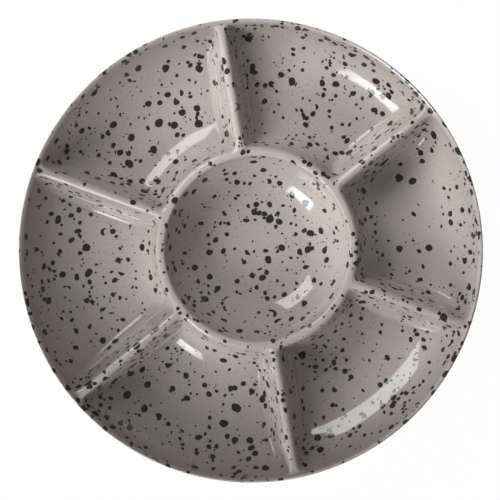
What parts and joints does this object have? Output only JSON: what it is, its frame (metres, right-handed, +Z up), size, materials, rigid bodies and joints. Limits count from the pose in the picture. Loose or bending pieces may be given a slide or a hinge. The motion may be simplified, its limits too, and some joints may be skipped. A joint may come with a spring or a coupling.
{
  "type": "divided serving plate",
  "caption": "Round glazed stoneware serving plate with a middle bowl inside a ring wall, and outer bays parted by drafted dividers, standing on a low foot ring.",
  "frame": {"origin": "the rim's axis, on the surface that the dish stands on", "axes": "+Z up, out of the open side; +X to the right and +Y to the top of the picture"},
  "size_m": [0.3, 0.3, 0.04],
  "materials": {
    "glaze": "gloss warm grey glaze with dark green-black speckles",
    "bare_clay": "bare fired stoneware, dry and slightly sandy"
  },
  "bodies": {
    "root": {"dish_shell": "glaze", "centre_ring": "glaze", "divider_1": "glaze", "divider_2": "glaze", "divider_3": "glaze", "divider_4": "glaze", "divider_5": "glaze", "divider_6": "glaze", "foot_ring": "bare_clay"}
  },
  "joints": []
}
